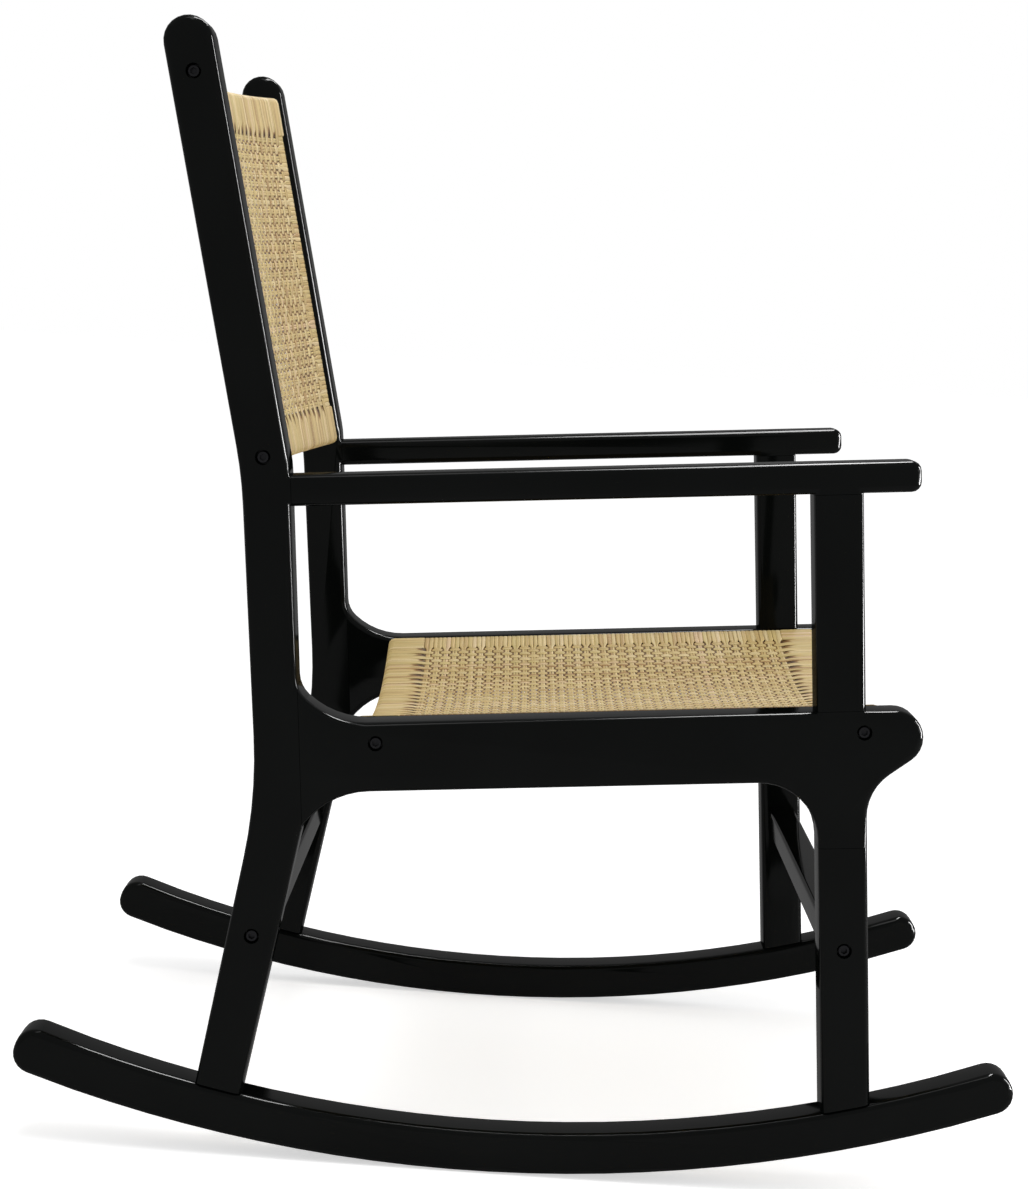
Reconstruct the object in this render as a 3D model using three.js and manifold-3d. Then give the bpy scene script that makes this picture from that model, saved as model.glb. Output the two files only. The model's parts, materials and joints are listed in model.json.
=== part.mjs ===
// Rocking chair: two sawn timber side frames on curved runners, joined by a caned seat, a caned back and
// two stretchers, all held by recessed socket screws. Millimetres, +Z up, X across, the sitter faces -Y.
// Side outlines are drawn as the maker draws them, with the front leg upright: y is 0 under the centre of
// the runner's curve, z is 0 at the runner's lowest point. The finished chair leans back by REST_TILT, at
// which it balances, and the origin lies on the floor below the middle of its box.
import * as THREE from 'three';
import { mergeVertices } from 'three/addons/utils/BufferGeometryUtils.js';
import Module from 'manifold-3d';

const wasm = await Module();
wasm.setup();

const degrees = THREE.MathUtils.degToRad;

// Whole chair
const CHAIR_WIDTH = 600;
const BOARD = 40; // thickness of every sawn member, across the chair
const EDGE_RADIUS = 5; // routed edge of the side frames and runners
const REST_TILT = degrees(5.2); // where its weight is over the runners' point of contact
const FIT_GAP = 0.3; // between pieces that touch
const LAND = 0.5; // how far outside the face that it meets a joint lies, so that no routed edge is cut
const OVERRUN = 30; // how far a cutting shape reaches past what it cuts

// Runners
const RUNNER_RADIUS = 1222;
const RUNNER_TIGHTENING = 62; // how much smaller the upper curve's radius is
const RUNNER_TOP_SHIFT = 3; // the upper curve's centre lies this far forward
const RUNNER_DEPTH = 34.8; // at its thinnest
const RUNNER_REAR_ANGLE = degrees(23.65);
const RUNNER_FRONT_ANGLE = degrees(16.25);
const RUNNER_END_RADIUS = 17;
const RUNNER_STEP = degrees(1.5);

// Seat side rail
const RAIL_TOP = 381.5;
const RAIL_DEPTH = 57;
const RAIL_SWEEP_RADIUS = 68; // long curves into the back post
const RAIL_SWEEP_LENGTH = 27.3; // from the sweep's corner to the post
const SWEEP_UPPER_RADIUS = 25;
const SWEEP_LOWER_RADIUS = 23;
const LEG_FILLET_RADIUS = 48;
const LOBE_REACH = 46.4; // of the rounded nose, past the leg
const LOBE_RADIUS = 22;
const LOBE_HEEL = 34.5; // from the rail's top down to the nose's lower corner
const THROAT_DROP = 65; // from the rail's top down to the throat's corner
const THROAT_RADIUS = 42;

// Front leg and arm post
const LEG_FRONT = -219.6;
const LEG_WIDTH = 40;
const LEG_JOINT_DROP = 6.5; // from the fillets beside it down to the joint with the rail

// Back post with the rear leg, one board
const POST_FRONT = 240.5;
const FRONT_KNEE_DROP = 28.9; // from the rail's underside down to where the leg's front turns back
const REAR_KNEE_DROP = 3.1; // and to where its rear does
const POST_MIDDLE_WIDTH = 36.2; // at the knee
const POST_BEND = 593; // height where the front edge starts to lean
const SHOULDER_DROP = 9; // from there down to where the rear edge starts to lean
const POST_WIDTH = 40;
const POST_LEAN = degrees(8.25);
const CROWN_RISE = 24.3; // from the back's upper bolts to the centre of the rounded top
const KNEE_RADIUS = 398;
const SHOULDER_RADIUS = 364;
const FOOT_HEIGHT = 80; // height at which the rear foot is measured
const FOOT_KICK = 55.9; // how far the foot stands behind the post
const FOOT_WIDTH = 39.8;
const BEND_RADIUS = 100;

// Armrest
const ARM_TOP = 583.5;
const ARM_DEPTH = 25;
const ARM_REACH = 46.6; // past the arm post
const ARM_END_RADIUS = 8;

// Tenons and dowels
const TENON_THICKNESS = 14;
const TENON_WIDTH = 22;
const RUNNER_TENON = 18;
const RAIL_TENON = 28;
const ARM_TENON = 15;
const DOWEL_DIAMETER = 10;
const DOWEL_LENGTH = 60;
const DOWEL_DEPTH = 22; // how far a dowel enters the back post
const RAIL_DOWEL_SHARES = [0.25, 0.75]; // of the rail's depth, below its top

// Socket screws and barrel nuts
const SCREW_DIAMETER = 6;
const SCREW_HEAD_DIAMETER = 10;
const SCREW_HEAD_HEIGHT = 6;
const SCREW_CHAMFER = 0.6;
const SCREW_REACH = 22; // past the side frame's inner face
const SOCKET_WIDTH = 5;
const SOCKET_DEPTH = 3.2;
const COUNTERBORE_DIAMETER = 12.6;
const COUNTERBORE_DEPTH = 8;
const NUT_DIAMETER = 10;
const NUT_LENGTH = 14;
const NUT_INSET = 14; // from the rail's end to the nut's axis

// Stretchers
const STRETCHER_SIZE = 26;
const STRETCHER_EDGE = 3.5;
const FRONT_STRETCHER_HEIGHT = 184.6;
const REAR_STRETCHER_HEIGHT = 207.5;

// Seat and back panels, each two curved rails, two stiles and the cane wrapped round them
const CANE = 1.5; // a layer of cane wrapped round the wood
const WEB = 2.6; // the woven sheet
const PANEL_MARGIN = 3; // bare rail between the cane and the side frame
const STILE_WIDTH = 20;
const STILE_DROP = 1; // the stiles and the sheet lie this far below the rails' faces
const STILE_TENON = 6;
const STILE_TENON_SIZE = 9;
const PANEL_EDGE = 5;
const SEAT_FRONT_INSET = 1.6; // of the front rail's bolts behind the leg's front
const SEAT_REAR_INSET = 62.5; // of the rear rail's bolts in front of the back post
const SEAT_BOLT_DROP = 17; // below the rail's top
const SEAT_RAIL_WIDTH = 33;
const SEAT_RAIL_DEPTH = 27;
const SEAT_DISH = 31;
const BACK_LOW_RISE = 15.1; // of the lower rail's bolts above the armrest
const BACK_HEIGHT = 306.1; // from those bolts up to the upper rail's
const BACK_RAIL_WIDTH = 34.5;
const BACK_RAIL_DEPTH = 20;
const BACK_BOW = 37;

// How finely curves are cut
const ARC_FLATNESS = 0.18;
const EDGE_STEPS = 2;
const PANEL_STEPS = 12;
const PANEL_EDGE_STEPS = 2;
const RECESS_SIDES = 16;
const ROD_SIDES = 12;
const SOCKET_SIDES = 6;
const SAME_POINT = 0.001; // points nearer than this are one

// Sizes that follow
const OUTER_FACE = CHAIR_WIDTH / 2;
const INNER_FACE = OUTER_FACE - BOARD;
const MIDDLE_FACE = OUTER_FACE - BOARD / 2;
const RUNNER_TOP_RADIUS = RUNNER_RADIUS - RUNNER_TIGHTENING;
const RAIL_BOTTOM = RAIL_TOP - RAIL_DEPTH;
const LEG_REAR = LEG_FRONT + LEG_WIDTH;
const LEG_MIDDLE = LEG_FRONT + LEG_WIDTH / 2;
const LEG_TOP = RAIL_BOTTOM - LEG_FILLET_RADIUS - LEG_JOINT_DROP;
const ARM_BOTTOM = ARM_TOP - ARM_DEPTH;
const ARM_FRONT = LEG_FRONT - ARM_REACH;
const POST_SLANT_WIDTH = POST_WIDTH / Math.cos(POST_LEAN);
const POST_LOW_FRONT = RAIL_BOTTOM - FRONT_KNEE_DROP;
const POST_KNEE = RAIL_BOTTOM - REAR_KNEE_DROP;
const POST_SHOULDER = POST_BEND - SHOULDER_DROP;
const FOOT_FRONT = POST_FRONT + FOOT_KICK;
const SEAT_FRONT_BOLT = LEG_FRONT + SEAT_FRONT_INSET;
const SEAT_REAR_BOLT = POST_FRONT - SEAT_REAR_INSET;
const BACK_LOW_BOLT = ARM_TOP + BACK_LOW_RISE;
const BACK_HIGH_BOLT = BACK_LOW_BOLT + BACK_HEIGHT;
const POST_CROWN = BACK_HIGH_BOLT + CROWN_RISE;
const CROSS_HALF = INNER_FACE - FIT_GAP; // half the length of every rail between the side frames
const CANE_HALF = CROSS_HALF - PANEL_MARGIN;

const lacquer = new THREE.MeshStandardMaterial({ color: 0x121413, roughness: 0.22, metalness: 0 });
const cane = new THREE.MeshStandardMaterial({ color: 0xc9b483, roughness: 0.6, metalness: 0 });
const bareWood = new THREE.MeshStandardMaterial({ color: 0xb9935f, roughness: 0.7, metalness: 0 });
const blackSteel = new THREE.MeshStandardMaterial({ color: 0x17181a, roughness: 0.35, metalness: 1 });
const zincSteel = new THREE.MeshStandardMaterial({ color: 0xa9adb0, roughness: 0.4, metalness: 1 });

// Turns a closed geometry into a solid that can be joined and cut
function toSolid(geometry) {
  geometry.deleteAttribute('normal');
  geometry.deleteAttribute('uv');
  const merged = mergeVertices(geometry);
  const vertProperties = merged.attributes.position.array;
  const triVerts = new Uint32Array(merged.index.array);
  return new wasm.Manifold(new wasm.Mesh({ numProp: 3, vertProperties, triVerts }));
}

function toMesh(name, solid, material) {
  const { vertProperties, triVerts } = solid.getMesh();
  const geometry = new THREE.BufferGeometry();
  geometry.setAttribute('position', new THREE.BufferAttribute(vertProperties, 3));
  geometry.setIndex(new THREE.BufferAttribute(triVerts, 1));
  geometry.computeVertexNormals();
  const mesh = new THREE.Mesh(geometry, material);
  mesh.name = name;
  return mesh;
}

// Points of a closed outline through corners [y, z, radius]; a corner with a radius is rounded, in steps if
// given and otherwise as finely as ARC_FLATNESS asks. Where an edge is too short for the rounding at both its
// ends, both give way.
function outline(corners, steps) {
  const next = (i) => (i + 1) % corners.length;
  const last = (i) => (i + corners.length - 1) % corners.length;
  const places = corners.map(([y, z]) => new THREE.Vector2(y, z));
  const turns = corners.map(([, , radius = 0], i) => {
    const back = places[last(i)].clone().sub(places[i]).normalize();
    const ahead = places[next(i)].clone().sub(places[i]).normalize();
    const half = Math.acos(back.dot(ahead)) / 2;
    return { back, ahead, half, reach: radius / Math.tan(half) };
  });
  const share = (i) => places[i].distanceTo(places[next(i)]) / (turns[i].reach + turns[next(i)].reach);
  const points = [];
  corners.forEach(([, , fullRadius = 0], i) => {
    if (fullRadius === 0) {
      points.push(places[i]);
      return;
    }
    const { back, ahead, half } = turns[i];
    const radius = fullRadius * Math.min(1, share(last(i)), share(i));
    const toCentre = back.clone().add(ahead).normalize();
    const centre = places[i].clone().addScaledVector(toCentre, radius / Math.sin(half));
    const start = places[i].clone().addScaledVector(back, radius / Math.tan(half));
    const turn = (Math.PI - 2 * half) * Math.sign(ahead.cross(back));
    const count = steps ?? Math.ceil(Math.abs(turn) / (2 * Math.acos(1 - ARC_FLATNESS / radius)));
    for (let k = 0; k <= count; k += 1) {
      points.push(start.clone().rotateAround(centre, (turn * k) / count));
    }
  });
  return points.filter((point, i) => point.distanceTo(points[(i + 1) % points.length]) > SAME_POINT);
}

// Local x, y, z of an extrusion become the chair's Y, Z, X
const ACROSS = new THREE.Matrix4().makeBasis(
  new THREE.Vector3(0, 1, 0),
  new THREE.Vector3(0, 0, 1),
  new THREE.Vector3(1, 0, 0),
);

// A board cut to an outline, from one X to another. Its edges are routed if edge is given; with flare they
// spread instead, as a cutting shape's must.
function sawn(points, fromX, toX, { edge = 0, flare = false, steps = 1 } = {}) {
  const inward = flare ? -edge : edge;
  const geometry = new THREE.ExtrudeGeometry(new THREE.Shape(points), {
    depth: toX - fromX - 2 * edge,
    steps,
    bevelEnabled: edge > 0,
    bevelThickness: edge,
    bevelSize: inward,
    bevelOffset: -inward,
    bevelSegments: EDGE_STEPS,
  });
  geometry.translate(0, 0, fromX + edge);
  geometry.applyMatrix4(ACROSS);
  return geometry;
}

// A round bar between two points
function rod(diameter, from, to, sides = ROD_SIDES) {
  const along = to.clone().sub(from);
  const geometry = new THREE.CylinderGeometry(diameter / 2, diameter / 2, along.length(), sides);
  const upright = new THREE.Vector3(0, 1, 0);
  geometry.applyQuaternion(new THREE.Quaternion().setFromUnitVectors(upright, along.clone().normalize()));
  geometry.translate(...from.clone().add(to).divideScalar(2).toArray());
  return toSolid(geometry);
}

// A tenon of the given length from a shoulder, pointing along angle in the side plane, with a bite into its
// own piece
function tenon(side, y, z, angle, length, clearance = 0) {
  const bite = clearance > 0 ? OVERRUN : TENON_WIDTH / 2;
  const thickness = TENON_THICKNESS + 2 * clearance;
  const width = TENON_WIDTH + 2 * clearance;
  const reach = length + 2 * clearance;
  const geometry = new THREE.BoxGeometry(thickness, width, reach + bite);
  geometry.translate(0, 0, (reach - bite) / 2);
  geometry.rotateX(angle);
  geometry.translate(side * MIDDLE_FACE, y, z);
  return toSolid(geometry);
}

// Height of the runner's upper curve
function runnerTop(y) {
  const centre = RUNNER_TOP_RADIUS + RUNNER_DEPTH;
  return centre - Math.sqrt(RUNNER_TOP_RADIUS ** 2 - (y + RUNNER_TOP_SHIFT) ** 2);
}

// Points of the back post's straight edges: its leaning upper part, its front, and the rear leg
const slope = Math.tan(POST_LEAN);
const leanFrontAt = (z) => POST_FRONT + (z - POST_BEND) * slope;
const postAxisAt = (z) => leanFrontAt(z) + POST_SLANT_WIDTH / 2;
const postFrontAt = (z) => Math.max(POST_FRONT, leanFrontAt(z));
const legSlope = (FOOT_FRONT - POST_FRONT) / (POST_LOW_FRONT - FOOT_HEIGHT);
const rearLegAngle = Math.atan(legSlope);
const footFrontAt = (z) => POST_FRONT + (POST_LOW_FRONT - z) * legSlope;
const kneeRear = POST_FRONT + POST_MIDDLE_WIDTH;
const footRear = FOOT_FRONT + FOOT_WIDTH;
const footRearAt = (z) => kneeRear + ((POST_KNEE - z) * (footRear - kneeRear)) / (POST_KNEE - FOOT_HEIGHT);
const rearLegAxisAt = (z) => (footFrontAt(z) + footRearAt(z)) / 2;
const rearFoot = rearLegAxisAt(FOOT_HEIGHT);

// The bend in the post's front edge, as a list that is empty unless it lies between two heights
function bendBetween(low, high) {
  return low < POST_BEND && POST_BEND < high ? [[POST_FRONT, POST_BEND, BEND_RADIUS]] : [];
}

// Corners up the post's front edge, moved forward by gap
function postEdge(low, high, gap) {
  const corners = [[postFrontAt(low), low], ...bendBetween(low, high), [postFrontAt(high), high]];
  return corners.map(([y, z]) => [y - gap, z]);
}

// Where the lower sweep of the rail meets the rear leg's front edge, which it leaves at 45 degrees
const sweepCorner = POST_FRONT - RAIL_SWEEP_LENGTH;
const lowSweepHeight = (RAIL_BOTTOM + sweepCorner - POST_FRONT - POST_LOW_FRONT * legSlope) / (1 - legSlope);

// The side frame as it is glued up, before its edges are routed
function sideFrameOutline() {
  const along = new THREE.Vector2(Math.sin(POST_LEAN), Math.cos(POST_LEAN)).multiplyScalar(POST_WIDTH / 2);
  const crown = new THREE.Vector2(postAxisAt(POST_CROWN), POST_CROWN).add(along);
  const rearFootEnd = runnerTop(rearFoot) - OVERRUN;
  const frontFootEnd = runnerTop(LEG_MIDDLE) - OVERRUN;
  return outline([
    [footFrontAt(rearFootEnd), rearFootEnd],
    [footFrontAt(lowSweepHeight), lowSweepHeight, SWEEP_LOWER_RADIUS],
    [sweepCorner, RAIL_BOTTOM, RAIL_SWEEP_RADIUS],
    [LEG_REAR, RAIL_BOTTOM, LEG_FILLET_RADIUS],
    [LEG_REAR, frontFootEnd],
    [LEG_FRONT, frontFootEnd],
    [LEG_FRONT, RAIL_TOP - THROAT_DROP, THROAT_RADIUS],
    [LEG_FRONT - LOBE_REACH, RAIL_TOP - LOBE_HEEL, LOBE_RADIUS],
    [LEG_FRONT - LOBE_REACH, RAIL_TOP, LOBE_RADIUS],
    [LEG_FRONT, RAIL_TOP],
    [LEG_FRONT, ARM_BOTTOM],
    [ARM_FRONT, ARM_BOTTOM, ARM_END_RADIUS],
    [ARM_FRONT, ARM_TOP, ARM_END_RADIUS],
    [postFrontAt(ARM_TOP), ARM_TOP],
    ...bendBetween(ARM_TOP, POST_CROWN),
    [crown.x - along.y, crown.y + along.x, POST_WIDTH / 2],
    [crown.x + along.y, crown.y - along.x, POST_WIDTH / 2],
    [leanFrontAt(POST_SHOULDER) + POST_SLANT_WIDTH, POST_SHOULDER, SHOULDER_RADIUS],
    [kneeRear, POST_KNEE, KNEE_RADIUS],
    [footRearAt(rearFootEnd), rearFootEnd],
  ]);
}

// The opening between back post, rail, arm post and armrest
function windowOutline() {
  const sweepTop = RAIL_TOP + RAIL_SWEEP_LENGTH;
  return outline([
    [sweepCorner, RAIL_TOP, RAIL_SWEEP_RADIUS],
    [POST_FRONT, sweepTop, SWEEP_UPPER_RADIUS],
    ...bendBetween(sweepTop, ARM_BOTTOM),
    [postFrontAt(ARM_BOTTOM), ARM_BOTTOM],
    [LEG_REAR, ARM_BOTTOM],
    [LEG_REAR, RAIL_TOP],
  ]);
}

// The part of the side frame that each member is: joints run between these regions
const armPostTop = ARM_BOTTOM - LAND;
const armPostFoot = RAIL_TOP + LAND;
const windowHeight = (RAIL_TOP + ARM_BOTTOM) / 2;
const farFront = ARM_FRONT - OVERRUN;
const farRear = footRear + 2 * OVERRUN;
const farTop = POST_CROWN + POST_WIDTH;
const REGIONS = {
  back_post: [
    [footFrontAt(0) - LAND, 0],
    ...postEdge(POST_LOW_FRONT, farTop, LAND),
    [farRear, farTop],
    [farRear, 0],
  ],
  seat_side_rail: [
    [farFront, LEG_TOP],
    [footFrontAt(LEG_TOP) - LAND - FIT_GAP, LEG_TOP],
    ...postEdge(POST_LOW_FRONT, windowHeight, LAND + FIT_GAP),
    [0, windowHeight],
    [0, armPostFoot],
    [farFront, armPostFoot],
  ],
  front_leg: [
    [farFront, 0],
    [0, 0],
    [0, LEG_TOP - FIT_GAP],
    [farFront, LEG_TOP - FIT_GAP],
  ],
  arm_post: [
    [farFront, armPostFoot + FIT_GAP],
    [0, armPostFoot + FIT_GAP],
    [0, armPostTop - FIT_GAP],
    [farFront, armPostTop - FIT_GAP],
  ],
  armrest: [
    [farFront, armPostTop],
    ...postEdge(armPostTop, ARM_TOP + OVERRUN, LAND + FIT_GAP),
    [farFront, ARM_TOP + OVERRUN],
  ],
};

// Screws through the side frames, by the rail that each one holds
const seatHeight = RAIL_TOP - SEAT_BOLT_DROP;
const SCREWS = {
  seat_front: [SEAT_FRONT_BOLT, seatHeight],
  seat_rear: [SEAT_REAR_BOLT, seatHeight],
  back_low: [postAxisAt(BACK_LOW_BOLT), BACK_LOW_BOLT],
  back_high: [postAxisAt(BACK_HIGH_BOLT), BACK_HIGH_BOLT],
  stretcher_front: [LEG_MIDDLE, FRONT_STRETCHER_HEIGHT],
  stretcher_rear: [rearLegAxisAt(REAR_STRETCHER_HEIGHT), REAR_STRETCHER_HEIGHT],
};

// Dowels between the back post and the pieces in front of it, by height
const DOWELS = { armrest_dowel: (ARM_TOP + ARM_BOTTOM) / 2 };
RAIL_DOWEL_SHARES.forEach((share, i) => {
  DOWELS[`rail_dowel_${i + 1}`] = RAIL_TOP - share * RAIL_DEPTH;
});

function dowelSolid(side, z, clearance) {
  const rear = postFrontAt(z) - LAND + DOWEL_DEPTH;
  const from = new THREE.Vector3(side * MIDDLE_FACE, rear + clearance, z);
  const to = new THREE.Vector3(side * MIDDLE_FACE, rear - DOWEL_LENGTH - clearance, z);
  return rod(DOWEL_DIAMETER + 2 * clearance, from, to);
}

// The clearance hole and counterbore that a screw needs in a side frame
function screwHole(side, y, z) {
  const at = (x) => new THREE.Vector3(side * x, y, z);
  const bore = rod(SCREW_DIAMETER + 2 * FIT_GAP, at(INNER_FACE - OVERRUN), at(OUTER_FACE + OVERRUN));
  const floor = at(OUTER_FACE - COUNTERBORE_DEPTH);
  const recess = rod(COUNTERBORE_DIAMETER, floor, at(OUTER_FACE + OVERRUN), RECESS_SIDES);
  return bore.add(recess);
}

// A socket screw whose head lies in the counterbore
function screwMesh(name, side, y, z) {
  const headRadius = SCREW_HEAD_DIAMETER / 2;
  const seat = OUTER_FACE - COUNTERBORE_DEPTH + FIT_GAP;
  const top = seat + SCREW_HEAD_HEIGHT;
  const tip = INNER_FACE - SCREW_REACH;
  const profile = [
    [0, tip],
    [SCREW_DIAMETER / 2 - SCREW_CHAMFER, tip],
    [SCREW_DIAMETER / 2, tip + SCREW_CHAMFER],
    [SCREW_DIAMETER / 2, seat],
    [headRadius, seat],
    [headRadius, top - SCREW_CHAMFER],
    [headRadius - SCREW_CHAMFER, top],
    [0, top],
  ];
  const points = profile.map(([radius, x]) => new THREE.Vector2(radius, x));
  const body = toSolid(new THREE.LatheGeometry(points, ROD_SIDES));
  const socketTop = new THREE.Vector3(0, top + OVERRUN, 0);
  const socketFloor = new THREE.Vector3(0, top - SOCKET_DEPTH, 0);
  const acrossCorners = SOCKET_WIDTH / Math.cos(Math.PI / SOCKET_SIDES);
  const socket = rod(acrossCorners, socketFloor, socketTop, SOCKET_SIDES);
  const mesh = toMesh(name, body.subtract(socket), blackSteel);
  mesh.rotation.z = (-side * Math.PI) / 2;
  mesh.position.set(0, y, z);
  return mesh;
}

// The cross bore for a screw and the hole for its barrel nut, in the end of a rail.
// axis is the nut's direction; the nut's hole runs out of the rail along it.
function nutHoles(side, y, z, axis) {
  const at = (x) => new THREE.Vector3(side * x, y, z);
  const boreEnd = at(INNER_FACE - SCREW_REACH - FIT_GAP);
  const bore = rod(SCREW_DIAMETER + 2 * FIT_GAP, boreEnd, at(INNER_FACE + OVERRUN));
  const nutAt = at(CROSS_HALF - NUT_INSET);
  const floor = nutAt.clone().addScaledVector(axis, -NUT_LENGTH / 2 - FIT_GAP);
  const mouth = nutAt.clone().addScaledVector(axis, OVERRUN);
  return bore.add(rod(NUT_DIAMETER + 2 * FIT_GAP, floor, mouth));
}

function nutMesh(name, side, y, z, axis) {
  const at = (x) => new THREE.Vector3(side * x, y, z);
  const nutAt = at(CROSS_HALF - NUT_INSET);
  const low = nutAt.clone().addScaledVector(axis, -NUT_LENGTH / 2);
  const high = nutAt.clone().addScaledVector(axis, NUT_LENGTH / 2);
  const thread = rod(SCREW_DIAMETER + 2 * FIT_GAP, at(INNER_FACE - OVERRUN - NUT_INSET), at(OUTER_FACE));
  return toMesh(name, rod(NUT_DIAMETER, low, high).subtract(thread), zincSteel);
}

// The two side frames, cut from one glued and routed blank
function sideFrame(sideName, side) {
  const group = new THREE.Group();
  const [low, high] = side > 0 ? [INNER_FACE, OUTER_FACE] : [-OUTER_FACE, -INNER_FACE];
  const rearFootAngle = Math.PI - rearLegAngle;
  const rearFootTop = runnerTop(rearFoot);
  const frontFootTop = runnerTop(LEG_MIDDLE);
  const holes = Object.values(SCREWS).map(([y, z]) => screwHole(side, y, z));
  const frame = toSolid(sawn(sideFrameOutline(), low, high, { edge: EDGE_RADIUS }));
  const opening = toSolid(sawn(windowOutline(), low, high, { edge: EDGE_RADIUS, flare: true }));
  const routed = frame.subtract(opening).subtract(runnerSpace());
  const blank = holes.reduce((solid, hole) => solid.subtract(hole), routed);
  const members = {};
  Object.entries(REGIONS).forEach(([name, corners]) => {
    members[name] = blank.intersect(toSolid(sawn(outline(corners), low - OVERRUN, high + OVERRUN)));
  });

  const legTenon = (clearance) => tenon(side, LEG_MIDDLE, LEG_TOP, 0, RAIL_TENON, clearance);
  const postTenon = (clearance) => tenon(side, LEG_MIDDLE, armPostFoot, Math.PI, RAIL_TENON, clearance);
  const armTenon = (clearance) => tenon(side, LEG_MIDDLE, armPostTop, 0, ARM_TENON, clearance);
  const frontFoot = (clearance) => tenon(side, LEG_MIDDLE, frontFootTop, Math.PI, RUNNER_TENON, clearance);
  const backFoot = (clearance) => tenon(side, rearFoot, rearFootTop, rearFootAngle, RUNNER_TENON, clearance);

  members.front_leg = members.front_leg.add(legTenon()).add(frontFoot());
  members.arm_post = members.arm_post.add(postTenon()).add(armTenon());
  members.back_post = members.back_post.add(backFoot());
  const mortises = legTenon(FIT_GAP).add(postTenon(FIT_GAP));
  members.seat_side_rail = members.seat_side_rail.subtract(mortises);
  members.armrest = members.armrest.subtract(armTenon(FIT_GAP));
  Object.entries(DOWELS).forEach(([name, z]) => {
    const hole = dowelSolid(side, z, FIT_GAP);
    members.back_post = members.back_post.subtract(hole);
    members.seat_side_rail = members.seat_side_rail.subtract(hole);
    members.armrest = members.armrest.subtract(hole);
    group.add(toMesh(`${name}_${sideName}`, dowelSolid(side, z, 0), bareWood));
  });
  Object.entries(members).forEach(([name, solid]) => {
    group.add(toMesh(`${name}_${sideName}`, solid, lacquer));
  });

  const runner = toSolid(sawn(runnerOutline(), low, high, { edge: EDGE_RADIUS }));
  const runnerWithMortises = runner.subtract(frontFoot(FIT_GAP)).subtract(backFoot(FIT_GAP));
  group.add(toMesh(`runner_${sideName}`, runnerWithMortises, lacquer));
  Object.entries(SCREWS).forEach(([name, [y, z]]) => {
    group.add(screwMesh(`screw_${name}_${sideName}`, side, y, z));
  });
  return group;
}

// A runner, with one facet of its lower curve level where the chair stands. Both curves are followed by
// angle about the lower one's centre.
function runnerOutline() {
  const rise = RUNNER_RADIUS - RUNNER_TOP_RADIUS - RUNNER_DEPTH;
  const onRay = (angle, reach) => [reach * Math.sin(angle), RUNNER_RADIUS - reach * Math.cos(angle)];
  const outer = (angle) => onRay(angle, RUNNER_RADIUS);
  const inner = (angle) => {
    const forward = rise * Math.cos(angle) - RUNNER_TOP_SHIFT * Math.sin(angle);
    const aside = rise * Math.sin(angle) + RUNNER_TOP_SHIFT * Math.cos(angle);
    return onRay(angle, forward + Math.sqrt(RUNNER_TOP_RADIUS ** 2 - aside ** 2));
  };
  const angles = [];
  const first = Math.ceil((-RUNNER_FRONT_ANGLE - REST_TILT) / RUNNER_STEP) + 1;
  for (let k = first; REST_TILT + k * RUNNER_STEP < RUNNER_REAR_ANGLE - RUNNER_STEP / 2; k += 1) {
    angles.push(REST_TILT + (k + 1 / 2) * RUNNER_STEP);
  }
  const inside = angles.filter((angle) => angle < RUNNER_REAR_ANGLE - RUNNER_STEP);
  return outline([
    [...outer(-RUNNER_FRONT_ANGLE), RUNNER_END_RADIUS],
    ...inside.map(outer),
    [...outer(RUNNER_REAR_ANGLE), RUNNER_END_RADIUS],
    [...inner(RUNNER_REAR_ANGLE), RUNNER_END_RADIUS],
    ...inside.reverse().map(inner),
    [...inner(-RUNNER_FRONT_ANGLE), RUNNER_END_RADIUS],
  ]);
}

// Everything under the runner's upper curve, to trim the legs
function runnerSpace() {
  const corners = [];
  for (let angle = -RUNNER_FRONT_ANGLE; angle < RUNNER_REAR_ANGLE; angle += RUNNER_STEP / 2) {
    const y = RUNNER_TOP_RADIUS * Math.sin(angle);
    corners.push([y, runnerTop(y) + FIT_GAP]);
  }
  corners.push([RUNNER_TOP_RADIUS, -OVERRUN]);
  corners.push([-RUNNER_TOP_RADIUS, -OVERRUN]);
  return toSolid(sawn(outline(corners), -CHAIR_WIDTH, CHAIR_WIDTH));
}

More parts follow.
